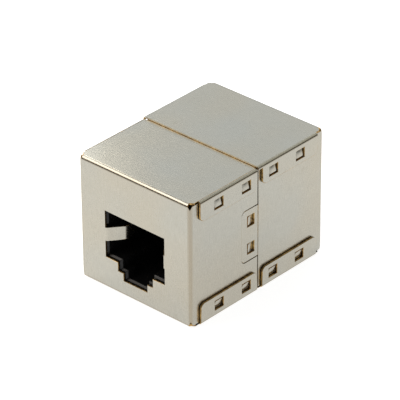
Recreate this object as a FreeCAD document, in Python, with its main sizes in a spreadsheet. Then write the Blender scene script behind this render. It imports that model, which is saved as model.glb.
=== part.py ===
"""Shielded RJ45 inline coupler: two folded metal half shells, latched to each other, round two
modular jacks that stand back to back on one circuit board.

Part frame: millimetres, +Z up, origin at the centre of the bottom face. X runs across the
coupler, Y along it: the front socket opens towards -Y, the rear socket towards +Y, and both
have their latch side down. Each half is drawn in a frame of its own, with y = 0 on the outer
face of its socket wall and +y into the coupler, and is then placed.
"""
import FreeCAD, Part
import math
import os
import Sketcher

DIMENSIONS = [
    ("coupler_length", 29.5, "outside of the front face to outside of the rear face"),
    ("side_width", 22.1, "across the outsides of the two side panels"),
    ("front_height", 20.95, "height of the front shell"),
    ("sheet_gauge", 0.3, "thickness of the shell sheet"),
    ("face_fold_radius", 0.6, "outside radius of the folds round a socket wall"),
    ("lip_fold_radius", 0.5, "outside radius of the folds into the lips"),
    ("lip_gap", 0.12, "between a side panel and the lip over it"),
    ("panel_gap", 0.06, "between a side panel's edge and the panel over or under it"),
    ("seam_gap", 0.14, "between the two shells where their edges meet"),
    ("overlap_gap", 0.03, "between the front top panel and the rear one over it"),
    ("corner_relief", 1.0, "socket wall to where the top and bottom panels reach full width"),
    ("notch_width", 1.2, "width of the notch in each end of a side fold"),
    ("notch_depth", 0.9, "depth of that notch"),
    ("lip_height", 3.5, "folded edge to the lip's free edge"),
    ("lip_setback", 1.8, "socket wall to the near end of a lip"),
    ("lip_end_setback", 0.6, "a lip's far end to the middle of the coupler"),
    ("lip_corner_radius", 0.9, "round at a lip's free corners"),
    ("window_run", 1.95, "length of a latch window in a lip"),
    ("window_height", 1.65, "height of a latch window in a lip"),
    ("window_drop", 1.9, "folded edge to the middle of a lip's windows"),
    ("first_window", 5.75, "socket wall to the middle of a lip's first window"),
    ("last_window_setback", 2.4, "a lip's far end to the middle of its last window"),
    ("barb_clearance", 0.22, "between a barb and the edge of its window"),
    ("barb_rise", 0.29, "how far a barb stands out of its panel"),
    ("top_overlap", 0.35, "how far the rear top panel reaches past the middle"),
    ("top_tuck", 1.1, "how far the front top panel runs on under the rear one"),
    ("tongue_run", 3.6, "how far a side tongue reaches past the middle"),
    ("tongue_height", 8.75, "height of a side tongue"),
    ("tongue_middle", 10.2, "bottom face to the middle of a side tongue"),
    ("tongue_corner_radius", 0.8, "round at a tongue's free corners"),
    ("tongue_inset", 0.06, "how far a tongue lies inside its side panel's face"),
    ("tongue_gap", 0.07, "before and under a tongue in its recess"),
    ("tongue_top_gap", 0.2, "over a tongue in its recess"),
    ("tongue_seat_gap", 0.05, "between a tongue and the floor of its recess"),
    ("tongue_window_run", 1.6, "length of a latch window in a tongue"),
    ("tongue_window_height", 1.85, "height of a latch window in a tongue"),
    ("tongue_window_setback", 2.1, "tongue's free edge to the middle of its windows"),
    ("tongue_window_pitch", 4.7, "between the middles of a tongue's windows"),
    ("opening_width", 11.9, "widest part of the socket opening"),
    ("opening_height", 7.95, "height of the widest part"),
    ("step_width", 7.0, "width of the step under it"),
    ("step_height", 1.52, "height of that step"),
    ("slot_width", 4.78, "width of the latch slot at the bottom"),
    ("slot_height", 1.28, "height of the latch slot"),
    ("opening_drop", 7.55, "top face of the front shell to the top of the opening"),
    ("spring_height", 2.25, "height of a ground spring"),
    ("spring_drop", 2.9, "top of the opening to the top of a ground spring"),
    ("spring_root", 0.7, "run of a ground spring inside the socket wall"),
    ("spring_reach", 2.05, "how far a ground spring leans into the socket"),
    ("spring_depth", 2.6, "depth at which it leans in furthest"),
    ("spring_tail_run", 2.0, "depth of its tail behind that"),
    ("spring_tail_return", 0.85, "how far the tail leans back out"),
    ("spring_root_radius", 0.35, "bend at the root of a ground spring, on its middle"),
    ("spring_crown_radius", 1.1, "bend at its crown, on its middle"),
    ("housing_gap", 0.15, "between a jack housing and the shell round it"),
    ("housing_corner_radius", 0.5, "round on the housing's long edges"),
    ("cavity_width", 11.7, "width of the plug cavity"),
    ("cavity_step_width", 6.3, "width of the cavity's step"),
    ("cavity_slot_width", 4.2, "width of the cavity's latch slot"),
    ("cavity_inset", 0.35, "how far each cavity floor lies above the edge of the opening"),
    ("ceiling_inset", 0.05, "how far the cavity ceiling lies below the edge of the opening"),
    ("cavity_depth", 11.6, "depth of the plug cavity in the housing"),
    ("mouth_chamfer", 0.3, "lead-in round the mouth of the cavity"),
    ("latch_wall", 1.8, "thickness of the wall that the plug's latch hooks behind"),
    ("spring_pocket_depth", 1.1, "room beside the cavity for a pressed ground spring"),
    ("spring_pocket_run", 6.2, "length of that room"),
    ("spring_pocket_margin", 0.3, "above and below a ground spring"),
    ("housing_wall", 1.0, "wall round the cores at the back of a housing"),
    ("core_depth", 9.5, "depth of those cores"),
    ("board_thickness", 1.6, "circuit board"),
    ("board_gap", 0.15, "between the board's edge and the shell"),
    ("board_seat_gap", 0.04, "between the board and the housing that it lies on"),
    ("peg_diameter", 2.0, "locating peg of a housing"),
    ("peg_run", 0.7, "length of a locating peg"),
    ("peg_fit", 0.08, "round a locating peg in the board"),
    ("peg_spacing", 14.6, "between a housing's two pegs"),
    ("peg_height", 5.2, "bottom face to the middle of the pegs"),
    ("contact_pitch", 1.02, "between neighbouring contacts"),
    ("contact_width", 0.4, "width of a contact across the socket"),
    ("contact_gauge", 0.3, "thickness of a contact"),
    ("contact_bend_radius", 0.5, "bends of a contact, on its middle"),
    ("contact_rise", 0.75, "ceiling to the middle of a contact's upper run"),
    ("nose_drop", 0.6, "ceiling to the corner under a contact's nose"),
    ("nose_setback", 0.9, "front of the carrier to a contact's nose"),
    ("blade_run", 6.2, "depth of a contact's sloping blade"),
    ("blade_drop", 3.0, "ceiling to the tip of that blade"),
    ("low_row_rise", 2.2, "ceiling to the lower row of tails"),
    ("row_spacing", 2.54, "between the two rows of tails"),
    ("tail_level_run", 1.7, "level run of a tail inside the carrier"),
    ("tail_proud", 0.35, "how far a tail stands out of the board"),
    ("hole_diameter", 0.74, "plated hole for a tail"),
    ("carrier_margin", 0.75, "carrier beside its outer contacts"),
    ("carrier_cap", 1.0, "carrier above its upper row of tails"),
    ("carrier_setback", 1.9, "front of the housing to the front of the carrier"),
    ("carrier_fit", 0.05, "round a carrier in its housing"),
    ("channel_fit", 0.06, "round a contact in its channel"),
    ("tail_room", 0.65, "between a carrier and the board, for the other jack's tails"),
]
CONTACTS = 8
HALVES = ("front", "rear")


class Size:
    """A length that carries both its number and its formula in the spreadsheet's names."""

    def __init__(self, number, formula):
        self.number = number
        self.formula = formula

    def joined(self, other, sign, number):
        """The result of self sign other, with its formula in brackets."""
        return Size(number, "(" + self.formula + sign + length(other).formula + ")")

    def __add__(self, other):
        return self.joined(other, " + ", self.number + length(other).number)

    def __sub__(self, other):
        return self.joined(other, " - ", self.number - length(other).number)

    def __mul__(self, factor):
        return self.joined(factor, " * ", self.number * length(factor).number)

    def __truediv__(self, factor):
        return self.joined(factor, " / ", self.number / length(factor).number)

    def __neg__(self):
        return self * -1


def length(value):
    """A plain number as a Size; a Size stays as it is."""
    if isinstance(value, Size):
        return value
    return Size(float(value), repr(float(value)))


doc = FreeCAD.newDocument("InlineCoupler")
sheet = doc.addObject("Spreadsheet::Sheet", "Sizes")
for row, (alias, value, meaning) in enumerate(DIMENSIONS, start=1):
    sheet.set("A%d" % row, meaning)
    sheet.set("B%d" % row, str(value))
    sheet.setAlias("B%d" % row, alias)
doc.recompute()


def named(alias):
    """The driving dimension of that name."""
    return Size(float(sheet.get(alias)), "Sizes." + alias)


# ---------------------------------------------------------------------------------------------
# Sketches and features
# ---------------------------------------------------------------------------------------------
# Along +X, +Y and +Z a sketch plane's normal points this way.
NORMAL = {"YZ_Plane": 1, "XZ_Plane": -1, "XY_Plane": 1}


def origin_feature(body, role):
    """One of a body's own origin planes or axes."""
    return [f for f in body.Origin.OriginFeatures if f.Role == role][0]


def new_sketch(body, name, plane, place):
    """A sketch parallel to an origin plane of the body, at that place along the plane's axis."""
    sketch = body.newObject("Sketcher::SketchObject", name)
    sketch.AttachmentSupport = [(origin_feature(body, plane), "")]
    sketch.MapMode = "FlatFace"
    place = length(place) * NORMAL[plane]
    sketch.setExpression("AttachmentOffset.Base.z", place.formula)
    return sketch


def fix(sketch, element, vertex, u, v):
    """Holds a vertex at (u, v) from the sketch's origin."""
    for kind, value in (("DistanceX", u), ("DistanceY", v)):
        index = sketch.addConstraint(Sketcher.Constraint(kind, -1, 1, element, vertex, value.number))
        sketch.setExpression("Constraints[%d]" % index, value.formula)


def draw(sketch, corners, closed=True):
    """Draws straight lines from corner to corner. A corner is (u, v), or (u, v, radius) where the
    lines meet in a tangent arc; its point is then kept as construction geometry."""
    corners = [[length(value) for value in corner] for corner in corners]
    points = [FreeCAD.Vector(c[0].number, c[1].number, 0) for c in corners]
    count = len(corners)
    lines = count if closed else count - 1
    enter, leave, arcs = list(points), list(points), {}
    for i, corner in enumerate(corners):
        if len(corner) < 3:
            continue
        before = (points[i] - points[i - 1]).normalize()
        after = (points[(i + 1) % count] - points[i]).normalize()
        turn = math.atan2(before.cross(after).z, before.dot(after))
        tangent = corner[2].number * math.tan(abs(turn) / 2)
        enter[i] = points[i] - before * tangent
        leave[i] = points[i] + after * tangent
        side = math.copysign(corner[2].number, turn)
        centre = enter[i] + FreeCAD.Vector(-before.y, before.x, 0) * side
        ends = (enter[i], leave[i]) if turn > 0 else (leave[i], enter[i])
        angles = [math.atan2(end.y - centre.y, end.x - centre.x) for end in ends]
        circle = Part.Circle(centre, FreeCAD.Vector(0, 0, 1), corner[2].number)
        arcs[i] = (sketch.addGeometry(Part.ArcOfCircle(circle, *angles), False), turn > 0)
    edges = []
    for i in range(lines):
        line = Part.LineSegment(leave[i], enter[(i + 1) % count])
        edges.append(sketch.addGeometry(line, False))
    for i, corner in enumerate(corners):
        into = edges[i - 1] if closed or i > 0 else None
        out = edges[i] if i < lines else None
        if i not in arcs:
            if into is not None and out is not None:
                sketch.addConstraint(Sketcher.Constraint("Coincident", into, 2, out, 1))
            end = (out, 1) if out is not None else (into, 2)
            fix(sketch, end[0], end[1], corner[0], corner[1])
            continue
        arc, left_turn = arcs[i]
        near, far = (1, 2) if left_turn else (2, 1)
        mark = sketch.addGeometry(Part.Point(points[i]), True)
        sketch.addConstraint(Sketcher.Constraint("Tangent", into, 2, arc, near))
        sketch.addConstraint(Sketcher.Constraint("Tangent", arc, far, out, 1))
        sketch.addConstraint(Sketcher.Constraint("PointOnObject", mark, 1, into))
        sketch.addConstraint(Sketcher.Constraint("PointOnObject", mark, 1, out))
        radius = sketch.addConstraint(Sketcher.Constraint("Radius", arc, corner[2].number))
        sketch.setExpression("Constraints[%d]" % radius, corner[2].formula)
        fix(sketch, mark, 1, corner[0], corner[1])


def draw_circle(sketch, u, v, diameter):
    """Draws a circle with its centre at (u, v)."""
    u, v = length(u), length(v)
    centre = FreeCAD.Vector(u.number, v.number, 0)
    circle = Part.Circle(centre, FreeCAD.Vector(0, 0, 1), diameter.number / 2)
    edge = sketch.addGeometry(circle, False)
    size = sketch.addConstraint(Sketcher.Constraint("Diameter", edge, diameter.number))
    sketch.setExpression("Constraints[%d]" % size, diameter.formula)
    fix(sketch, edge, 3, u, v)


def box_outline(u_low, u_high, v_low, v_high, *radius):
    """The four corners of a rectangle, each with the radius if one is given."""
    ends = ((u_low, v_low), (u_high, v_low), (u_high, v_high), (u_low, v_high))
    return [end + radius for end in ends]


def feature(body, kind, name):
    """A new feature at the tip of the body. Only the last one merges the faces that lie in one
    plane, because doing so after every step is slow."""
    made = body.newObject(kind, name)
    made.Refine = False
    body.Tip = made
    return made


def carry(body, kind, name, sketch, plane, run):
    """Pads or pockets a sketch over a run towards the positive end of its plane's axis."""
    made = feature(body, "PartDesign::" + kind, name)
    made.Profile = sketch
    made.setExpression("Length", length(run).formula)
    # A pad follows the sketch's normal and a pocket goes against it.
    made.Reversed = (NORMAL[plane] < 0) == (kind == "Pad")
    return made


def extrude(body, kind, name, plane, outlines, start, run):
    """Pads or pockets closed outlines, drawn at start, over a run along the plane's axis."""
    sketch = new_sketch(body, name + "_outline", plane, start)
    for outline in outlines:
        draw(sketch, outline)
    return carry(body, kind, name, sketch, plane, run)


def repeat(body, name, originals, axis, pitch, count):
    """Repeats features along an axis at a pitch."""
    made = feature(body, "PartDesign::LinearPattern", name)
    made.Originals = originals
    made.Direction = (origin_feature(body, axis), [""])
    made.Mode = "Spacing"
    made.setExpression("Offset", pitch.formula)
    made.Occurrences = count
    return made


def sweep(body, name, profile, path):
    """Carries a profile sketch along a path sketch."""
    made = feature(body, "PartDesign::AdditivePipe", name)
    made.Profile = profile
    made.Spine = (path, [])
    return made


def slab(side, inner, outer):
    """Start and run of a slab between two distances from the middle plane, on one side."""
    return (inner if side > 0 else -outer), outer - inner


def new_body(label, half):
    """A body named after its piece, placed in its half: the rear half is turned about Z."""
    body = doc.addObject("PartDesign::Body", label)
    body.Label = label
    turn = FreeCAD.Rotation(FreeCAD.Vector(0, 0, 1), 180 if half == "rear" else 0)
    body.Placement = FreeCAD.Placement(FreeCAD.Vector(0, 0, 0), turn)
    face = half_length if half == "rear" else -half_length
    body.setExpression("Placement.Base.y", face.formula)
    return body


# ---------------------------------------------------------------------------------------------
# Sizes that follow from the driving dimensions
# ---------------------------------------------------------------------------------------------
gauge = named("sheet_gauge")
half_length = named("coupler_length") / 2
panel_face = named("side_width") / 2
panel_inside = panel_face - gauge
lip_inside = panel_face + named("lip_gap")
lip_face = lip_inside + gauge
flat_half = panel_face - named("face_fold_radius")
inner_fold_radius = named("face_fold_radius") - gauge
relief = named("corner_relief")
panel_end = half_length - named("seam_gap") / 2
lip_end = half_length - named("lip_end_setback")
last_window = lip_end - named("last_window_setback")
height = {
    "front": named("front_height"),
    "rear": named("front_height") + gauge + named("overlap_gap"),
}

opening_half = named("opening_width") / 2
opening_top = named("front_height") - named("opening_drop")
step_top = opening_top - named("opening_height")
slot_top = step_top - named("step_height")
slot_sill = slot_top - named("slot_height")
spring_top = opening_top - named("spring_drop")
spring_base = spring_top - named("spring_height")

tongue_tip = half_length - named("tongue_run")
tongue_base = named("tongue_middle") - named("tongue_height") / 2
tongue_top = named("tongue_middle") + named("tongue_height") / 2
tongue_inside = panel_inside - named("tongue_inset")
recess_base = tongue_base - named("tongue_gap")
recess_top = tongue_top + named("tongue_top_gap")
recess_floor = tongue_inside - named("tongue_seat_gap")
recess_inside = recess_floor - gauge
recess_start = tongue_tip - named("tongue_gap")

board_near = half_length - named("board_thickness") / 2
board_far = half_length + named("board_thickness") / 2
room_base = gauge + named("housing_gap")
room_top = named("front_height") - gauge - named("housing_gap")
housing_front = gauge + named("housing_gap")
housing_back = board_near - named("board_seat_gap")
housing_half = panel_inside - named("housing_gap")

ceiling = opening_top - named("ceiling_inset")
cavity_back = housing_front + named("cavity_depth")
carrier_front = housing_front + named("carrier_setback")
carrier_back = board_near - named("tail_room")
low_row = ceiling + named("low_row_rise")
high_row = low_row + named("row_spacing")
carrier_top = high_row + named("carrier_cap")
outer_contact = named("contact_pitch") * ((CONTACTS - 1) / 2)
carrier_half = outer_contact + named("carrier_margin")
row_of = [low_row if n % 2 == 0 else high_row for n in range(CONTACTS)]
upper_run = ceiling + named("contact_rise")
slope_end = carrier_back - named("tail_level_run")


# ---------------------------------------------------------------------------------------------
# Folded shells
# ---------------------------------------------------------------------------------------------
def socket_outline(widths, floors, top):
    """The stepped outline of a modular socket: latch slot, step and body, from the bottom up."""
    slot, step, body = [width / 2 for width in widths]
    slot_floor, step_floor, body_floor = floors
    return [(-slot, slot_floor), (slot, slot_floor), (slot, step_floor), (step, step_floor),
            (step, body_floor), (body, body_floor), (body, top), (-body, top), (-body, body_floor),
            (-step, body_floor), (-step, step_floor), (-slot, step_floor)]


def fold_socket_wall(body, high):
    """The socket wall with its folds: a strip bent round both sides and a strip bent over the top
    and under the bottom. A notch in each end of a side fold leaves its corner open."""
    radius = named("face_fold_radius")
    low_edge = gauge + named("panel_gap")
    high_edge = high - gauge - named("panel_gap")
    side_strip = [(-panel_face, panel_end), (-panel_face, 0, radius), (panel_face, 0, radius),
                  (panel_face, panel_end), (panel_inside, panel_end),
                  (panel_inside, gauge, inner_fold_radius),
                  (-panel_inside, gauge, inner_fold_radius), (-panel_inside, panel_end)]
    extrude(body, "Pad", "side_strip", "XY_Plane", [side_strip], low_edge, high_edge - low_edge)
    for side, name in ((-1, "left"), (1, "right")):
        notch_corners(body, name, side, high)
    reliefs = [box_outline(-flat_half, flat_half, high - radius, high),
               box_outline(-flat_half, flat_half, 0, radius)]
    extrude(body, "Pocket", "face_reliefs", "XZ_Plane", reliefs, 0, gauge)
    wrap = [(relief, high), (0, high, radius), (0, 0, radius), (relief, 0), (relief, gauge),
            (gauge, gauge, inner_fold_radius), (gauge, high - gauge, inner_fold_radius),
            (relief, high - gauge)]
    extrude(body, "Pad", "face_strip", "YZ_Plane", [wrap], -flat_half, flat_half * 2)


def notch_corners(body, name, side, high):
    """The V notches in both ends of one side's fold, cut along the diagonal of its corner."""
    sketch = new_sketch(body, name + "_notch_outline", "XZ_Plane", relief)
    sketch.AttachmentOffset.Rotation = FreeCAD.Rotation(FreeCAD.Vector(0, 1, 0), 45 * side)
    sketch.setExpression("AttachmentOffset.Base.x", ((panel_face - relief) * side).formula)
    half, depth = named("notch_width") / 2, named("notch_depth")
    draw(sketch, [(-half, high), (0, high - depth), (half, high)])
    draw(sketch, [(-half, 0), (half, 0), (0, depth)])
    notch = feature(body, "PartDesign::Pocket", name + "_notches")
    notch.Profile = sketch
    notch.Reversed = True
    notch.setExpression("Length", (relief * math.sqrt(2)).formula)


def fold_panel(body, name, base, end, tuck=None):
    """The top or bottom panel, flat, from the fold at the socket wall to its free edge. The tuck
    is a narrower tab that runs on from the free edge."""
    fold = named("face_fold_radius")
    right = [(flat_half, fold), (panel_face, relief), (panel_face, end)]
    if tuck is not None:
        tab_half = panel_inside - named("panel_gap") * 2
        right += [(tab_half, end), (tab_half, tuck)]
    left = [(-x, y) for x, y in reversed(right)]
    extrude(body, "Pad", name, "XY_Plane", [right + left], base, gauge)


def fold_lips(body, name, fold_line, down, fold_end):
    """Both lips of the top panel (down = 1) or of the bottom panel (down = -1): the fold over the
    side panel's edge, and the lip with its latch windows."""
    radius = named("lip_fold_radius")
    inner = radius - gauge
    tangent = fold_line - radius * down
    under = fold_line - gauge * down
    edge = tangent - named("panel_gap") * down
    fold = [(-lip_face, edge), (-lip_face, fold_line, radius), (lip_face, fold_line, radius),
            (lip_face, edge), (lip_inside, edge), (lip_inside, under, inner),
            (-lip_inside, under, inner), (-lip_inside, edge)]
    near, far = named("lip_setback"), lip_end
    extrude(body, "Pad", name + "_fold", "XZ_Plane", [fold], near, fold_end - near)
    free = fold_line - named("lip_height") * down
    corner = named("lip_corner_radius")
    blank = [(near, tangent), (near, free, corner), (far, free, corner), (far, tangent)]
    middle = fold_line - named("window_drop") * down
    outlines = [blank]
    for place in (named("first_window"), last_window):
        half_run, half_height = named("window_run") / 2, named("window_height") / 2
        outlines.append(box_outline(place - half_run, place + half_run,
                                    middle - half_height, middle + half_height))
    for side in (-1, 1):
        start, run = slab(side, lip_inside, lip_face)
        extrude(body, "Pad", "%s_lip_%s" % (name, "left" if side < 0 else "right"), "YZ_Plane",
                outlines, start, run)


def ramp(side, face, flush, proud):
    """Section of a half-sheared barb: flush with the panel's face at one end and standing out of
    it at the other, with its root in the panel's outer half."""
    root = face - gauge / 2
    crown = face + named("barb_rise")
    return [(root * side, flush), (face * side, flush), (crown * side, proud), (root * side, proud)]


def press_lip_barbs(body, high):
    """The barbs on the side panels under the lips' windows, each pressed out from behind. The
    flush end points to the lip's fold, so that the lip slides over it and then hooks."""
    half = named("window_height") / 2 - named("barb_clearance")
    run = named("window_run") - named("barb_clearance") * 2
    start = named("first_window") - run / 2
    top, low = high - named("window_drop"), named("window_drop")
    sections = {"barbs": [], "barb_hollows": []}
    for side in (-1, 1):
        for name, face in (("barbs", panel_face), ("barb_hollows", panel_inside)):
            sections[name].append(ramp(side, face, top + half, top - half))
            sections[name].append(ramp(side, face, low - half, low + half))
    pressed = [extrude(body, "Pad", "lip_barbs", "XZ_Plane", sections["barbs"], start, run),
               extrude(body, "Pocket", "lip_barb_hollows", "XZ_Plane", sections["barb_hollows"],
                       start, run)]
    repeat(body, "lip_barb_pairs", pressed, "Y_Axis", last_window - named("first_window"), 2)


def cut_opening(body):
    """The stepped socket opening in the socket wall."""
    outline = socket_outline((named("slot_width"), named("step_width"), named("opening_width")),
                             (slot_sill, slot_top, step_top), opening_top)
    extrude(body, "Pocket", "opening", "XZ_Plane", [outline], 0, gauge)


def bend_ground_springs(body):
    """The two ground springs: tabs of the socket wall, bent in from the opening's side edges."""
    for side, name in ((-1, "left"), (1, "right")):
        start = (opening_half + named("spring_root")) * side
        bend = (opening_half - named("spring_root_radius") / 2) * side
        crown = bend - named("spring_reach") * side
        depth = gauge / 2 + named("spring_depth")
        path = new_sketch(body, name + "_spring_path", "XY_Plane", (spring_base + spring_top) / 2)
        draw(path, [(start, gauge / 2), (bend, gauge / 2, named("spring_root_radius")),
                    (crown, depth, named("spring_crown_radius")),
                    (crown + named("spring_tail_return") * side,
                     depth + named("spring_tail_run"))], closed=False)
        section = new_sketch(body, name + "_spring_section", "YZ_Plane", start)
        draw(section, box_outline(length(0), gauge, spring_base, spring_top))
        sweep(body, name + "_spring", section, path)


def press_tongue_recesses(body):
    """The shallow recess in each side panel that takes the other shell's tongue, pressed inwards
    by one sheet, and the two barbs on its floor."""
    corner = named("tongue_corner_radius") + named("tongue_gap")
    inner = [(panel_end, recess_base), (panel_end, recess_top),
             (recess_start, recess_top, corner), (recess_start, recess_base, corner)]
    outer = [(panel_end, recess_base - gauge), (panel_end, recess_top + gauge),
             (recess_start - gauge, recess_top + gauge, corner + gauge),
             (recess_start - gauge, recess_base - gauge, corner + gauge)]
    for side, name in ((-1, "left"), (1, "right")):
        start, run = slab(side, recess_inside, panel_inside)
        extrude(body, "Pad", name + "_recess_wall", "YZ_Plane", [outer], start, run)
        start, run = slab(side, recess_floor, panel_face)
        extrude(body, "Pocket", name + "_recess", "YZ_Plane", [inner], start, run)
    half = named("tongue_window_run") / 2 - named("barb_clearance")
    middle = tongue_tip + named("tongue_window_setback")
    width = named("tongue_window_height") - named("barb_clearance") * 2
    first = named("tongue_middle") - named("tongue_window_pitch") / 2 - width / 2
    barbs, hollows = [], []
    for side in (-1, 1):
        barbs.append(ramp(side, recess_floor, middle + half, middle - half))
        hollows.append(ramp(side, recess_inside, middle + half, middle - half))
    pressed = [extrude(body, "Pad", "recess_barbs", "XY_Plane", barbs, first, width),
               extrude(body, "Pocket", "recess_barb_hollows", "XY_Plane", hollows, first, width)]
    repeat(body, "recess_barb_pairs", pressed, "Z_Axis", named("tongue_window_pitch"), 2)


def extend_tongues(body):
    """The tongue that runs on from each side panel into the other shell's recess."""
    tip = half_length + named("tongue_run")
    root = panel_end - gauge
    corner = named("tongue_corner_radius")
    blank = [(root, tongue_base), (tip, tongue_base, corner), (tip, tongue_top, corner),
             (root, tongue_top)]
    outlines = [blank]
    middle = tip - named("tongue_window_setback")
    half_run, half_height = named("tongue_window_run") / 2, named("tongue_window_height") / 2
    for step in (-0.5, 0.5):
        place = named("tongue_middle") + named("tongue_window_pitch") * step
        outlines.append(box_outline(middle - half_run, middle + half_run,
                                    place - half_height, place + half_height))
    for side, name in ((-1, "left"), (1, "right")):
        start, run = slab(side, tongue_inside, tongue_inside + gauge)
        extrude(body, "Pad", name + "_tongue", "YZ_Plane", outlines, start, run)


def build_shell(half):
    """One half shell, folded from a single sheet."""
    body = new_body(half + "_shell", half)
    high = height[half]
    fold_socket_wall(body, high)
    cut_opening(body)
    bend_ground_springs(body)
    if half == "front":
        top_end = half_length - named("top_overlap")
        fold_panel(body, "top_panel", high - gauge, top_end - named("seam_gap"),
                   tuck=top_end + named("top_tuck"))
        fold_end = lip_end
    else:
        fold_end = half_length + named("top_overlap")
        fold_panel(body, "top_panel", high - gauge, fold_end)
    fold_panel(body, "bottom_panel", length(0), panel_end)
    fold_lips(body, "top", high, 1, fold_end)
    fold_lips(body, "bottom", length(0), -1, lip_end)
    press_lip_barbs(body, high)
    if half == "front":
        press_tongue_recesses(body)
    else:
        extend_tongues(body)
    return body


# ---------------------------------------------------------------------------------------------
# Jack housings
# ---------------------------------------------------------------------------------------------
def chamfer_mouth(body, cavity):
    """Breaks the edges of the cavity where it opens in the housing's front."""
    doc.recompute()
    reach = named("cavity_width").number / 2 + 0.01
    names = []
    for number, edge in enumerate(cavity.Shape.Edges, start=1):
        box = edge.BoundBox
        at_front = abs(box.YMin - housing_front.number) < 0.001 and box.YLength < 0.001
        if at_front and box.XMax < reach and box.XMin > -reach:
            names.append("Edge%d" % number)
    lead_in = feature(body, "PartDesign::Chamfer", "lead_in")
    lead_in.Base = (cavity, names)
    lead_in.setExpression("Size", named("mouth_chamfer").formula)


def build_housing(half):
    """A moulded jack housing: the block with its stepped plug cavity, the hook wall behind the
    latch slot, the room for the ground springs, the seat of the contact carrier, the cores at the
    back and the pegs that locate it on the board."""
    body = new_body(half + "_jack_housing", half)
    block = box_outline(-housing_half, housing_half, room_base, room_top,
                        named("housing_corner_radius"))
    extrude(body, "Pad", "block", "XZ_Plane", [block], housing_front, housing_back - housing_front)

    inset = named("cavity_inset")
    floors = (slot_sill + inset, slot_top + inset, step_top + inset)
    widths = (named("cavity_slot_width"), named("cavity_step_width"), named("cavity_width"))
    cavity = extrude(body, "Pocket", "cavity", "XZ_Plane",
                     [socket_outline(widths, floors, ceiling)], housing_front,
                     named("cavity_depth"))
    chamfer_mouth(body, cavity)
    hook = housing_front + named("latch_wall")
    step_half = named("cavity_step_width") / 2
    extrude(body, "Pocket", "latch_room", "XZ_Plane",
            [box_outline(-step_half, step_half, floors[0], floors[1])], hook, cavity_back - hook)

    pocket_half = named("cavity_width") / 2 + named("spring_pocket_depth")
    margin = named("spring_pocket_margin")
    extrude(body, "Pocket", "spring_room", "XZ_Plane",
            [box_outline(-pocket_half, pocket_half, spring_base - margin, spring_top + margin)],
            housing_front, named("spring_pocket_run"))

    fit = named("carrier_fit")
    seat = box_outline(-carrier_half - fit, carrier_half + fit, ceiling - fit, carrier_top + fit)
    seat_start = carrier_front - fit
    extrude(body, "Pocket", "carrier_seat", "XZ_Plane", [seat], seat_start,
            housing_back - seat_start)

    wall = named("housing_wall")
    recess_room = recess_inside - named("housing_gap")
    core_inside = pocket_half + wall
    core_outside = recess_room - wall
    middle = (room_base + room_top) / 2
    cores = []
    for low, high in ((room_base + wall, middle - wall / 2), (middle + wall / 2, room_top - wall)):
        cores.append(box_outline(core_inside, core_outside, low, high))
        cores.append(box_outline(-core_outside, -core_inside, low, high))
    extrude(body, "Pocket", "cores", "XZ_Plane", cores, housing_back - named("core_depth"),
            named("core_depth"))

    clear = gauge + named("housing_gap")
    scallop = box_outline(recess_start - clear, housing_back, recess_base - clear,
                          recess_top + clear)
    for side, name in ((-1, "left"), (1, "right")):
        start, run = slab(side, recess_room, housing_half)
        extrude(body, "Pocket", name + "_recess_room", "YZ_Plane", [scallop], start, run)

    pegs = new_sketch(body, "pegs_outline", "XZ_Plane", housing_back)
    for side in (-0.5, 0.5):
        draw_circle(pegs, named("peg_spacing") * side, named("peg_height"), named("peg_diameter"))
    carry(body, "Pad", "pegs", pegs, "XZ_Plane", named("peg_run"))
    return body


# ---------------------------------------------------------------------------------------------
# Contacts, their carriers and the circuit board
# ---------------------------------------------------------------------------------------------
def contact_place(number):
    """Distance of a contact from the middle plane, counted across the socket."""
    return named("contact_pitch") * (number - (CONTACTS - 1) / 2)


def build_contact(half, number):
    """A contact spring of rectangular wire: its tail goes through the board, slopes down to the
    ceiling of the cavity, runs forward, turns round its nose and slopes back as the blade."""
    body = new_body("%s_contact_%d" % (half, number + 1), half)
    place = contact_place(number)
    radius = named("contact_bend_radius")
    row = row_of[number]
    slope_start = slope_end - (row - upper_run)
    nose = carrier_front + named("nose_setback")
    tail_end = board_far + named("tail_proud")
    path = new_sketch(body, "path", "YZ_Plane", place)
    draw(path, [(tail_end, row), (slope_end, row, radius), (slope_start, upper_run, radius),
                (nose, upper_run, radius), (nose, ceiling - named("nose_drop"), radius),
                (nose + named("blade_run"), ceiling - named("blade_drop"))], closed=False)
    section = new_sketch(body, "section", "XZ_Plane", tail_end)
    half_width, half_gauge = named("contact_width") / 2, named("contact_gauge") / 2
    draw(section, box_outline(place - half_width, place + half_width,
                              row - half_gauge, row + half_gauge))
    sweep(body, "wire", section, path)
    return body


def build_carrier(half):
    """The insert that holds the contacts, flush with the ceiling of the cavity: a comb with a
    channel for each contact, open downwards and as high as the contact's own tail."""
    body = new_body(half + "_contact_carrier", half)
    block = box_outline(-carrier_half, carrier_half, ceiling, carrier_top)
    extrude(body, "Pad", "block", "XZ_Plane", [block], carrier_front, carrier_back - carrier_front)
    fit = named("channel_fit")
    over = named("contact_gauge") / 2 + fit
    width = named("contact_width") + fit * 2
    start = carrier_front + named("nose_setback") - over
    upper = upper_run + over
    # A line beside the wire's own turns a little further on, at half of the slope's 45 degrees.
    back = over * math.tan(math.radians(45 / 2))
    for number, name in ((0, "low"), (1, "high")):
        slope_start = slope_end - (row_of[number] - upper_run) - back
        row = row_of[number] + over
        channel = [(start, ceiling), (carrier_back, ceiling), (carrier_back, row),
                   (slope_end - back, row),
                   (slope_start, upper, named("contact_bend_radius") - over), (start, upper)]
        cut = extrude(body, "Pocket", name + "_channel", "YZ_Plane", [channel],
                      contact_place(number) - width / 2, width)
        repeat(body, name + "_channels", [cut], "X_Axis", named("contact_pitch") * 2,
               CONTACTS // 2)
    return body


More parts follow.
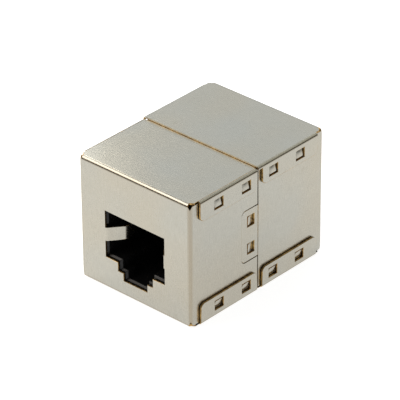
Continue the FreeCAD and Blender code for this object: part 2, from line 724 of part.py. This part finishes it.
def build_board():
    """The circuit board between the jacks, with two rows of plated holes for the contacts' tails
    and two holes for the housings' pegs."""
    body = new_body("circuit_board", "front")
    edge = named("board_gap")
    outline = box_outline(-recess_inside + edge, recess_inside - edge, gauge + edge,
                          named("front_height") - gauge - edge)
    thick = named("board_thickness")
    extrude(body, "Pad", "board", "XZ_Plane", [outline], board_near, thick)
    tails = new_sketch(body, "tail_holes_outline", "XZ_Plane", board_near)
    for row in (low_row, high_row):
        draw_circle(tails, contact_place(0), row, named("hole_diameter"))
    holes = carry(body, "Pocket", "tail_holes", tails, "XZ_Plane", thick)
    repeat(body, "tail_hole_rows", [holes], "X_Axis", named("contact_pitch"), CONTACTS)
    pegs = new_sketch(body, "peg_holes_outline", "XZ_Plane", board_near)
    for side in (-0.5, 0.5):
        draw_circle(pegs, named("peg_spacing") * side, named("peg_height"),
                    named("peg_diameter") + named("peg_fit") * 2)
    carry(body, "Pocket", "peg_holes", pegs, "XZ_Plane", thick)
    return body


# ---------------------------------------------------------------------------------------------
# The assembly, its checks and its files
# ---------------------------------------------------------------------------------------------
def check_features():
    """Stops on a feature that failed, and on a pad or pocket that changed nothing."""
    for item in doc.Objects:
        if "Invalid" in item.State or "Error" in item.State:
            group = item.getParentGeoFeatureGroup()
            raise RuntimeError("%s failed in %s" % (item.Label, group.Label))
        if item.TypeId in ("PartDesign::Pocket", "PartDesign::Pad") and item.BaseFeature:
            change = item.Shape.Volume - item.BaseFeature.Shape.Volume
            if change * (1 if item.TypeId == "PartDesign::Pad" else -1) <= 0:
                raise RuntimeError("%s changed nothing" % item.Label)


def write_parts(bodies):
    """Writes each piece to its own file, once it is known to be one valid solid."""
    os.makedirs("parts", exist_ok=True)
    for body in bodies:
        shape = body.Shape
        if shape.isNull() or not shape.isValid() or len(shape.Solids) != 1:
            raise RuntimeError("%s isn't one valid solid" % body.Label)
        shape.exportStep("parts/%s.step" % body.Label)


pieces = [build_board()]
for half in HALVES:
    pieces.append(build_shell(half))
    pieces.append(build_housing(half))
    pieces.append(build_carrier(half))
    pieces += [build_contact(half, number) for number in range(CONTACTS)]
for piece in pieces:
    piece.Tip.Refine = True
doc.recompute()
check_features()
write_parts(pieces)
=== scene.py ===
"""The looks of the shielded RJ45 inline coupler: satin nickel-plated sheet with bare brass cut
edges, black mouldings with softened edges, gilded contacts and a green board.

Metres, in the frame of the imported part: +Z up, the front socket opens towards -Y. The shells
and the jack housings are shown by pieces made from their own solids with softened edges; the
carriers, contacts and board are shown as they are.
"""

import math

import bmesh
import bpy
import numpy as np
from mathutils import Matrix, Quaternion, Vector


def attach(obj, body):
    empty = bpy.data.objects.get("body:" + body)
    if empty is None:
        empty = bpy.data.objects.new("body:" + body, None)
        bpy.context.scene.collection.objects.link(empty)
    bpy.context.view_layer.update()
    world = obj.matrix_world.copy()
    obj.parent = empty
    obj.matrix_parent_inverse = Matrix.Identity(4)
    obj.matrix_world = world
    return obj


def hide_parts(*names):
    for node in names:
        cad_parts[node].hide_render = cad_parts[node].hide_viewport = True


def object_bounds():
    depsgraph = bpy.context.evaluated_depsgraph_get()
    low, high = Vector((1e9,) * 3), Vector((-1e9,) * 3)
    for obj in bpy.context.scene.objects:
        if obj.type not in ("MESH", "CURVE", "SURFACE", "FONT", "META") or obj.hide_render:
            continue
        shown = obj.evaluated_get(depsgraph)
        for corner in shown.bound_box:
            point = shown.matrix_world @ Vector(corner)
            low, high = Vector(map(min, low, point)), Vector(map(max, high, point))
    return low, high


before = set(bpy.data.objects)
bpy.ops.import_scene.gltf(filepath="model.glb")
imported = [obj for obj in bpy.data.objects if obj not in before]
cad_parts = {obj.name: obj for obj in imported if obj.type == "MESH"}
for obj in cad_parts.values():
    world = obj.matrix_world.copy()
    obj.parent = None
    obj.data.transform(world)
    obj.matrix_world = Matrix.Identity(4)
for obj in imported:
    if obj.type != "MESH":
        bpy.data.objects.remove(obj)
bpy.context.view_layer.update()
low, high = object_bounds()
middle = (low + high) / 2

MM = 0.001
HALVES = ("front", "rear")
CONTACTS = 8

# Meshes
SAME_POINT = 0.002 * MM          # corners nearer than this are one
FLAT_WITHIN = 0.5                # degrees between faces that are parts of one flat face
SHARP_FROM = 28                  # degrees across an edge of a solid that stays sharp
SHARP_FROM_ONCE_ROUNDED = 50     # the same after the edges are rounded
ROOM_TO_ROUND = 1.4              # an edge this many times the rounding's width takes it

# Shells
PLATED, BARE = 0, 1              # the two materials of a shell's mesh
SHEET_GAUGE = 0.3 * MM
WIDEST_CUT = 1.08 * SHEET_GAUGE  # a region that is narrower is a sheared edge
ROLL_WIDTH = 0.07 * MM           # roll that the punch leaves on an outer edge
FACES = 0.2                      # a face faces a way if its normal has more than this along it
PLATED_ROLL_FROM = 5 * MM        # a roll across the part that is longer keeps its plating
SEAM_REACH = 2 * MM              # the seam's edge lies within this of the middle
SEAM_BARE_FROM = 0.22 * MM       # top face to the bare foot of the sheet's edge
LEAST_SEAM_AREA = (0.5 * MM) ** 2
LEAST_BARB_SIDE = 0.8 * MM
BARB_CUTS = 7
LIP_BARB_CROWN = 0.06 * MM
TONGUE_BARB_CROWN = 0.015 * MM
TONGUE_HALF_HEIGHT = 4.5 * MM    # the tongues' windows lie within this of mid-height
SHORTEST_BEND = 3 * MM           # a corner on a bend has an edge longer than this

# Mouldings
MOULD_RADIUS = 0.07 * MM

# Floor: a table
FLOOR_HALF_WIDTH = 3.0
FLOOR_LEVEL = -0.01 * MM
FLOOR_GLOW, FAR_FLOOR_GLOW = 0.86, 0.02
GLOW_HOLDS_TO, GLOW_ENDS_AT = 75 * MM, 240 * MM

# Soft panels: name, direction from the part, distance, width, height, radiance, colour
SOFT_PANELS = (
    ("key", (-0.58, -0.50, 0.64), 0.60, 0.42, 0.36, 3.0, (1.0, 0.92, 0.84)),
    ("overhead", (-0.26, 0.0, 0.96), 0.70, 0.62, 0.80, 0.6, (1.0, 1.0, 1.0)),
    ("back_left", (-0.577, 0.634, 0.514), 0.60, 0.56, 0.40, 0.98, (0.95, 0.99, 1.02)),
    ("corner_card", (-0.85, 0.05, 0.53), 0.09, 0.07, 0.05, 4.2, (1.0, 0.95, 0.87)),
    ("fill_right", (0.56, 0.60, 0.54), 0.70, 0.50, 0.34, 0.62, (1.0, 0.97, 0.82)),
    ("back", (0.02, 0.64, 0.77), 0.70, 0.46, 0.34, 0.70, (1.0, 1.0, 0.94)),
    ("right", (0.90, -0.05, 0.42), 0.70, 0.50, 0.36, 0.45, (1.0, 1.0, 1.0)),
    ("fill_front", (0.44, -0.76, 0.52), 0.70, 0.56, 0.44, 0.6, (1.0, 1.0, 0.97)),
)
ROOM_STRENGTH = 0.045

# Camera: angles in degrees, sensor and lens in millimetres
CAMERA_AZIMUTH, CAMERA_ELEVATION, CAMERA_ROLL = 42.363, 30.895, -0.402
CAMERA_AIM = (0, -0.75 * MM, 10.5 * MM)
CAMERA_SHIFT_RIGHT_MM, CAMERA_SHIFT_UP_MM, CAMERA_DISTANCE_MM = 0.173, 0.696, 455.05
SENSOR_WIDTH, FOCAL_LENGTH = 36, 274.67


# ---------------------------------------------------------------------------------------------
# Node materials
# ---------------------------------------------------------------------------------------------
class Nodes:
    """A material's node tree, with short calls for the nodes that the finishes use."""

    def __init__(self, name):
        self.material = bpy.data.materials.new(name)
        self.material.use_nodes = True
        self.tree = self.material.node_tree
        self.shader = self.tree.nodes["Principled BSDF"]
        self.coordinates = self.tree.nodes.new("ShaderNodeTexCoord")

    def link(self, value, socket):
        """Sets a socket to a number or colour, or joins it to another node's output."""
        if isinstance(value, bpy.types.NodeSocket):
            self.tree.links.new(value, socket)
        else:
            socket.default_value = value

    def place(self, per_mm, source=None):
        """Object coordinates, or another vector, so many units to a millimetre. Three numbers
        stretch the pattern along the axes."""
        node = self.tree.nodes.new("ShaderNodeMapping")
        along = per_mm if hasattr(per_mm, "__len__") else (per_mm,) * 3
        node.inputs["Scale"].default_value = [count / MM for count in along]
        self.link(source or self.coordinates.outputs["Object"], node.inputs["Vector"])
        return node.outputs["Vector"]

    def noise(self, vector, detail=3.0, roughness=0.5):
        """Fractal noise from 0 to 1."""
        node = self.tree.nodes.new("ShaderNodeTexNoise")
        node.inputs["Scale"].default_value = 1.0
        node.inputs["Detail"].default_value = detail
        node.inputs["Roughness"].default_value = roughness
        self.link(vector, node.inputs["Vector"])
        return node.outputs["Fac"]

    def ramp(self, value, low, high, start=0.0, end=1.0):
        """Maps low..high to start..end, held at the ends."""
        node = self.tree.nodes.new("ShaderNodeMapRange")
        self.link(value, node.inputs["Value"])
        for name, number in (("From Min", low), ("From Max", high), ("To Min", start),
                             ("To Max", end)):
            node.inputs[name].default_value = number
        return node.outputs["Result"]

    def math(self, operation, first, second):
        """One arithmetic step on two values."""
        node = self.tree.nodes.new("ShaderNodeMath")
        node.operation = operation
        self.link(first, node.inputs[0])
        self.link(second, node.inputs[1])
        return node.outputs["Value"]

    def blend(self, first, share, second):
        """The first value times its share, plus the second times the rest."""
        return self.math("ADD", self.math("MULTIPLY", first, share),
                         self.math("MULTIPLY", second, 1 - share))

    def attribute(self, name):
        """A value written on the mesh."""
        node = self.tree.nodes.new("ShaderNodeAttribute")
        node.attribute_name = name
        return node.outputs["Fac"]

    def distance(self):
        """Metres from the part's origin."""
        node = self.tree.nodes.new("ShaderNodeVectorMath")
        node.operation = "LENGTH"
        self.link(self.coordinates.outputs["Object"], node.inputs[0])
        return node.outputs["Value"]

    def mix(self, factor, first, second):
        """A colour between two colours."""
        colour_a, colour_b, colour_result = 6, 7, 2
        node = self.tree.nodes.new("ShaderNodeMix")
        node.data_type = "RGBA"
        self.link(factor, node.inputs["Factor"])
        self.link(first, node.inputs[colour_a])
        self.link(second, node.inputs[colour_b])
        return node.outputs[colour_result]

    def bump(self, height, distance):
        """Raises the surface by height times distance, on top of any bump before."""
        node = self.tree.nodes.new("ShaderNodeBump")
        node.inputs["Strength"].default_value = 1.0
        node.inputs["Distance"].default_value = distance
        self.link(height, node.inputs["Height"])
        if self.shader.inputs["Normal"].is_linked:
            before = self.shader.inputs["Normal"].links[0].from_socket
            self.link(before, node.inputs["Normal"])
        self.link(node.outputs["Normal"], self.shader.inputs["Normal"])

    def finish(self, **sockets):
        """Sets the shader's sockets by name, with _ for a space."""
        for name, value in sockets.items():
            self.link(value, self.shader.inputs[name.replace("_", " ")])
        return self.material


def nickel_finish():
    """Satin nickel on rolled sheet: short brushed streaks along the sheet, a fine sparkle, a
    faint mottle in tone and gloss, cooler and warmer patches, a few darker stains, a slight
    waviness, and a painted shade in the bends: a darker, browner tone where "bend" is marked."""
    cool_dark, warm_dark = (0.399, 0.390, 0.345, 1), (0.412, 0.388, 0.327, 1)
    cool_light, warm_light = (0.458, 0.447, 0.394, 1), (0.474, 0.446, 0.374, 1)
    stained, painted_bend_shade = (0.30, 0.27, 0.20, 1), (0.345, 0.305, 0.235, 1)

    n = Nodes("nickel_plated_sheet")
    sheet = n.coordinates.outputs["UV"]
    streaks = n.noise(n.place((6.5, 0.65, 0.001), sheet), detail=3.0, roughness=0.6)
    sparkle = n.noise(n.place(9), detail=2.0, roughness=0.7)
    mottle = n.noise(n.place(1.3), detail=4.0, roughness=0.6)
    cloud = n.noise(n.place(0.11), detail=2.0)
    warmth = n.ramp(n.noise(n.place(0.095), detail=1.0), 0.36, 0.64)
    stain = n.ramp(n.noise(n.place(0.42), detail=3.0, roughness=0.6), 0.66, 0.78)
    grain = n.blend(streaks, 0.65, sparkle)
    tone = n.ramp(n.blend(grain, 0.75, mottle), 0.34, 0.66)

    plain = n.mix(tone, n.mix(warmth, cool_dark, warm_dark), n.mix(warmth, cool_light, warm_light))
    colour = n.mix(n.math("MULTIPLY", stain, 0.22), plain, stained)
    # painted shade: the corners marked "bend" are darkened and browned
    colour = n.mix(n.math("MULTIPLY", n.attribute("bend"), 0.8), colour, painted_bend_shade)
    gloss = n.math("ADD", n.ramp(grain, 0.3, 0.7, 0.20, 0.29), n.ramp(cloud, 0.3, 0.7, 0.0, 0.04))
    n.bump(cloud, 0.05 * MM)
    n.bump(grain, 0.0009 * MM)
    return n.finish(Base_Color=colour, Metallic=1.0, Roughness=gloss)


def cut_edge_finish():
    """Bare brass where the sheet was sheared: torn across the thickness, browned here and there."""
    browned, clean = (0.24, 0.145, 0.052, 1), (0.64, 0.43, 0.165, 1)
    n = Nodes("bare_cut_edge")
    tear = n.noise(n.place(14), detail=3.0)
    stain = n.noise(n.place(1.5), detail=2.0)
    n.bump(tear, 0.006 * MM)
    return n.finish(Base_Color=n.mix(n.ramp(stain, 0.35, 0.65), browned, clean), Metallic=1.0,
                    Roughness=n.ramp(tear, 0.3, 0.7, 0.3, 0.5))


def moulding_finish():
    """Black moulded plastic with the fine spark-eroded texture of its tool."""
    deep, pale = (0.004, 0.004, 0.004, 1), (0.007, 0.007, 0.0075, 1)
    n = Nodes("black_plastic")
    spark = n.noise(n.place(9), detail=4.0, roughness=0.6)
    cloud = n.noise(n.place(0.3), detail=2.0)
    n.bump(spark, 0.004 * MM)
    return n.finish(Base_Color=n.mix(n.ramp(cloud, 0.35, 0.65), deep, pale),
                    Roughness=n.ramp(spark, 0.3, 0.7, 0.20, 0.32), Specular_IOR_Level=0.26)


def contact_finish():
    """Gilded spring wire, drawn lengthwise."""
    gilt, rubbed = (0.86, 0.60, 0.24, 1), (0.72, 0.53, 0.30, 1)
    n = Nodes("contact_metal")
    drawn = n.noise(n.place((12, 0.9, 2.5)), detail=3.0)
    worn = n.noise(n.place(0.9), detail=2.0)
    n.bump(drawn, 0.002 * MM)
    return n.finish(Base_Color=n.mix(n.ramp(worn, 0.4, 0.7), gilt, rubbed), Metallic=1.0,
                    Roughness=n.ramp(drawn, 0.3, 0.7, 0.16, 0.30))


def board_finish():
    """Green solder resist over woven glass, whose threads show faintly through it."""
    dark_green, light_green = (0.010, 0.075, 0.032, 1), (0.018, 0.11, 0.05, 1)
    n = Nodes("board_laminate")
    cloud = n.noise(n.place(0.5), detail=3.0)
    threads = n.noise(n.place((4.2, 0.001, 0.6)), detail=1.0)
    n.bump(threads, 0.006 * MM)
    return n.finish(Base_Color=n.mix(n.ramp(cloud, 0.35, 0.65), dark_green, light_green),
                    Roughness=n.ramp(cloud, 0.3, 0.7, 0.25, 0.38), Coat_Weight=0.4)


# ---------------------------------------------------------------------------------------------
# Pieces made from the solids
# ---------------------------------------------------------------------------------------------
def merged_solid(node):
    """A node's surface as one closed mesh: doubled corners merged, flat faces whole."""
    solid = bmesh.new()
    solid.from_mesh(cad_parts[node].data)
    bmesh.ops.remove_doubles(solid, verts=solid.verts, dist=SAME_POINT)
    bmesh.ops.dissolve_limit(solid, angle_limit=math.radians(FLAT_WITHIN), verts=solid.verts,
                             edges=solid.edges)
    mark_sharp_edges(solid, SHARP_FROM)
    return solid


def mark_sharp_edges(solid, least_angle):
    """Edges at least this many degrees sharp stay sharp; all else is shaded smooth."""
    for face in solid.faces:
        face.smooth = True
    for edge in solid.edges:
        edge.smooth = edge.calc_face_angle(0.0) < math.radians(least_angle)


def smooth_regions(solid):
    """Groups the faces that meet without a sharp edge. A region's mean width is twice its area
    over the length of its rim."""
    left = set(solid.faces)
    while left:
        region, open_faces = set(), [left.pop()]
        rim = 0.0
        while open_faces:
            face = open_faces.pop()
            region.add(face)
            for edge in face.edges:
                if not edge.smooth:
                    rim += edge.calc_length()
                    continue
                for other in edge.link_faces:
                    if other in left:
                        left.remove(other)
                        open_faces.append(other)
        area = sum(face.calc_area() for face in region)
        yield region, 2 * area / max(rim, SAME_POINT)


def unfold(solid):
    """Lays the sheet's coordinates on the faces in metres: first across and then along the
    brushing, which runs from side to side on the top and bottom and upright on the walls."""
    layer = solid.loops.layers.uv.new("sheet")
    for face in solid.faces:
        along_x, along_y, along_z = (abs(part) for part in face.normal)
        for loop in face.loops:
            x, y, z = loop.vert.co
            if along_z >= along_x and along_z >= along_y:
                loop[layer].uv = (y, x)
            elif along_x >= along_y:
                loop[layer].uv = (y, z)
            else:
                loop[layer].uv = (x, z)


def round_edges(solid, edges, width):
    """Rounds the given edges by a width, apart from those that end where an edge is too short to
    take it. Gives the new faces."""
    tight = {vert for edge in solid.edges if edge.calc_length() < width * ROOM_TO_ROUND
             for vert in edge.verts}
    free = [edge for edge in edges if not tight & set(edge.verts)]
    made = bmesh.ops.bevel(solid, geom=free, offset=width, offset_type="OFFSET", segments=2,
                           profile=0.5, affect="EDGES", clamp_overlap=False, loop_slide=False)
    mark_sharp_edges(solid, SHARP_FROM_ONCE_ROUNDED)
    return made["faces"]


def stand_for(node, solid, materials):
    """Makes the piece that is shown in a node's place."""
    mesh = bpy.data.meshes.new(node + "_finished")
    solid.to_mesh(mesh)
    solid.free()
    for material in materials:
        mesh.materials.append(material)
    piece = bpy.data.objects.new(node + "_finished", mesh)
    weighted = piece.modifiers.new("flat_faces_stay_flat", "WEIGHTED_NORMAL")
    weighted.keep_sharp = True
    weighted.mode = "FACE_AREA_WITH_ANGLE"
    bpy.context.scene.collection.objects.link(piece)
    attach(piece, "root")
    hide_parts(node)


def find_cut_edges(solid):
    """Marks the smooth regions that are about as narrow as the sheet is thick as bare, and all
    else as plated."""
    for region, width in smooth_regions(solid):
        for face in region:
            face.material_index = BARE if width < WIDEST_CUT else PLATED


def roll_outer_edges(solid):
    """Rounds the edges where a plated face on the outside meets a cut edge. The plating is worn
    through on the half of the roll beside the cut edge, and the rolls that face down are given the
    bare finish as well. It stays on the long rolls that face the front or rear: where the halves
    meet, at the tongues' ends and along the top of the openings."""
    outer = []
    for edge in solid.edges:
        if edge.smooth or [face.material_index for face in edge.link_faces].count(BARE) != 1:
            continue
        plated = min(edge.link_faces, key=lambda face: face.material_index)
        if plated.normal.dot(plated.calc_center_median() - middle) > 0:
            outer.append(edge)
    rolls = set(round_edges(solid, outer, ROLL_WIDTH))
    worn = [face for face in rolls if face.normal.z < -FACES or any(
        other.material_index == BARE and other not in rolls
        for edge in face.edges for other in edge.link_faces)]
    for face in rolls:
        face.material_index = PLATED
    for face in worn:
        across = abs(face.normal.y) > FACES
        long = max(edge.calc_length() for edge in face.edges) > PLATED_ROLL_FROM
        face.material_index = PLATED if across and long else BARE


def plate_seam_edge(solid):
    """Along the top of the seam the plating reaches over the sheet's edge, and only the foot of
    the edge is bare."""
    upright = 0.9
    plated_above = high.z - SEAM_BARE_FROM
    seam = [face for face in solid.faces
            if face.material_index == BARE and abs(face.normal.y) > upright
            and max(vert.co.z for vert in face.verts) > high.z - SHEET_GAUGE
            and abs(face.calc_center_median().y) < SEAM_REACH
            and face.calc_area() > LEAST_SEAM_AREA]
    parts = {item for face in seam for item in (face, *face.edges, *face.verts)}
    cut = bmesh.ops.bisect_plane(solid, geom=list(parts), dist=SAME_POINT,
                                 plane_co=(0, 0, plated_above), plane_no=(0, 0, 1))
    for face in (item for item in cut["geom"] if isinstance(item, bmesh.types.BMFace)):
        if face.material_index == BARE and face.calc_center_median().z > plated_above:
            face.material_index = PLATED


def is_barb(face):
    """Whether a face is the outer face of a barb that is pressed out of a side panel: it leans
    by 6 to 26 degrees, and looks outwards from near the part's full width."""
    most_leaning, least_leaning, near_full_width = 0.9, 0.995, 0.8
    return (len(face.verts) == 4 and face.material_index == PLATED
            and most_leaning < abs(face.normal.x) < least_leaning
            and min(edge.calc_length() for edge in face.edges) > LEAST_BARB_SIDE
            and face.normal.x * face.calc_center_median().x > near_full_width * high.x)


def dome_barbs(solid):
    """The pressed barbs stand out as low domes: over a barb's face, whose sides are at u, v = -1
    and 1, the height is crown * (1 - u^2) * (1 - v^2). The crown is lower in the windows of the
    tongues, halfway up, than in those of the lips."""
    for face in [face for face in solid.faces if is_barb(face)]:
        outward = np.array(face.normal)
        centre = np.array(face.calc_center_median())
        in_tongue = abs(centre[2] - middle.z) < TONGUE_HALF_HEIGHT
        crown = TONGUE_BARB_CROWN if in_tongue else LIP_BARB_CROWN
        corners = np.array([vert.co for vert in face.verts])
        along = (corners[1] - corners[0]) / 2
        across = (corners[2] - corners[1]) / 2
        cut = bmesh.ops.subdivide_edges(solid, edges=list(face.edges), cuts=BARB_CUTS,
                                        use_grid_fill=True)
        inner = [item for item in cut["geom_inner"] if isinstance(item, bmesh.types.BMVert)]
        points = np.array([vert.co for vert in inner])
        u = (points - centre) @ along / (along @ along)
        v = (points - centre) @ across / (across @ across)
        rise = crown * np.clip(1 - u ** 2, 0, None) * np.clip(1 - v ** 2, 0, None)
        for vert, point in zip(inner, points + rise[:, None] * outward):
            vert.co = point


def mark_bend_shade(solid):
    """Writes "bend" on the corners of the mesh: 1 inside the upright bends, the bottom bends and
    the lower half of the top bends, and 0 elsewhere. It is the mask of the painted shade that
    the nickel finish lays in the bends."""
    flat_from, lower_half_below = 0.998, 0.62
    layer = solid.verts.layers.float.new("bend")
    for vert in solid.verts:
        normals = [face.normal for face in vert.link_faces if face.material_index == PLATED]
        inside = normals and all(
            max(abs(part) for part in normal) < flat_from and normal.z < lower_half_below
            for normal in normals)
        longest = max(edge.calc_length() for edge in vert.link_edges)
        vert[layer] = 1.0 if inside and longest > SHORTEST_BEND else 0.0


def dress_shell(half, nickel, cut_edge):
    """A half shell, with its sheared edges bare and everything else plated."""
    solid = merged_solid(half + "_shell")
    find_cut_edges(solid)
    roll_outer_edges(solid)
    plate_seam_edge(solid)
    dome_barbs(solid)
    mark_bend_shade(solid)
    unfold(solid)
    stand_for(half + "_shell", solid, [nickel, cut_edge])


def dress_housing(half, plastic):
    """A jack housing with the small radii of its mould."""
    solid = merged_solid(half + "_jack_housing")
    round_edges(solid, [edge for edge in solid.edges if not edge.smooth], MOULD_RADIUS)
    stand_for(half + "_jack_housing", solid, [plastic])


def cover(node, material):
    """Gives a node that is shown as it is its finish."""
    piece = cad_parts[node]
    if not piece.material_slots:
        piece.data.materials.append(material)
    for slot in piece.material_slots:
        slot.link = "OBJECT"
        slot.material = material


# ---------------------------------------------------------------------------------------------
# Floor, light and camera
# ---------------------------------------------------------------------------------------------
def lay_floor():
    """A wide pale table, just under the part, lit softly from below round it and fading
    outwards: the glow falls with the square of the distance."""
    half = FLOOR_HALF_WIDTH
    corners = [(x, y, FLOOR_LEVEL)
               for x, y in ((-half, -half), (half, -half), (half, half), (-half, half))]
    mesh = bpy.data.meshes.new("floor")
    mesh.from_pydata(corners, [], [(0, 1, 2, 3)])
    floor = bpy.data.objects.new("floor", mesh)
    n = Nodes("pale_floor")
    glow = n.ramp(n.math("POWER", n.distance(), 2.0), GLOW_HOLDS_TO ** 2, GLOW_ENDS_AT ** 2,
                  FLOOR_GLOW, FAR_FLOOR_GLOW)
    mesh.materials.append(n.finish(Base_Color=(0.5, 0.5, 0.5, 1), Roughness=0.9,
                                   Specular_IOR_Level=0.0, Emission_Color=(1, 1, 1, 1),
                                   Emission_Strength=glow))
    bpy.context.scene.collection.objects.link(floor)


def softbox(name, direction, distance, width, height, radiance, colour):
    """A soft panel that faces the part. Its power gives it the same radiance at any size."""
    light = bpy.data.lights.new(name, "AREA")
    light.shape = "RECTANGLE"
    light.size = width
    light.size_y = height
    light.energy = radiance * math.pi * width * height
    light.color = colour
    panel = bpy.data.objects.new(name, light)
    away = Vector(direction).normalized()
    panel.location = middle + away * distance
    panel.rotation_mode = "QUATERNION"
    panel.rotation_quaternion = away.to_track_quat("Z", "Y")
    panel.visible_camera = False
    bpy.context.scene.collection.objects.link(panel)


def light_studio():
    """Soft panels in a dark room: a key at the front left, a wide one overhead, a cool one at
    the back left that the top face mirrors, a small card close to its left corner, and weak
    ones behind, at the right and in front at the right."""
    world = bpy.data.worlds.new("studio")
    world.use_nodes = True
    background = world.node_tree.nodes["Background"]
    background.inputs["Color"].default_value = (1, 1, 1, 1)
    background.inputs["Strength"].default_value = ROOM_STRENGTH
    bpy.context.scene.world = world
    for panel in SOFT_PANELS:
        softbox(*panel)


def aim_camera():
    """Looks at the corner between the front socket and the right side from above."""
    azimuth, elevation, roll = (
        math.radians(angle) for angle in (CAMERA_AZIMUTH, CAMERA_ELEVATION, CAMERA_ROLL))
    back = Vector((math.sin(azimuth) * math.cos(elevation),
                   -math.cos(azimuth) * math.cos(elevation), math.sin(elevation)))
    right = Vector((math.cos(azimuth), math.sin(azimuth), 0))
    up = back.cross(right)
    turned_right = right * math.cos(roll) + up * math.sin(roll)
    turned_up = up * math.cos(roll) - right * math.sin(roll)
    aim = Vector(CAMERA_AIM)
    aim += turned_right * CAMERA_SHIFT_RIGHT_MM * MM + turned_up * CAMERA_SHIFT_UP_MM * MM
    data = bpy.data.cameras.new("camera")
    data.sensor_width = SENSOR_WIDTH
    data.lens = FOCAL_LENGTH
    data.clip_start = 0.01
    data.clip_end = 10
    camera = bpy.data.objects.new("camera", data)
    camera.location = aim + back * CAMERA_DISTANCE_MM * MM
    camera.rotation_mode = "QUATERNION"
    camera.rotation_quaternion = Quaternion(back, roll) @ back.to_track_quat("Z", "Y")
    bpy.context.scene.collection.objects.link(camera)
    bpy.context.scene.camera = camera


nickel, cut_edge, plastic = nickel_finish(), cut_edge_finish(), moulding_finish()
gilt = contact_finish()
for half in HALVES:
    dress_shell(half, nickel, cut_edge)
    dress_housing(half, plastic)
    cover(half + "_contact_carrier", plastic)
    for number in range(1, CONTACTS + 1):
        cover("%s_contact_%d" % (half, number), gilt)
cover("circuit_board", board_finish())

lay_floor()
light_studio()
aim_camera()
bpy.context.scene.view_settings.view_transform = "Standard"
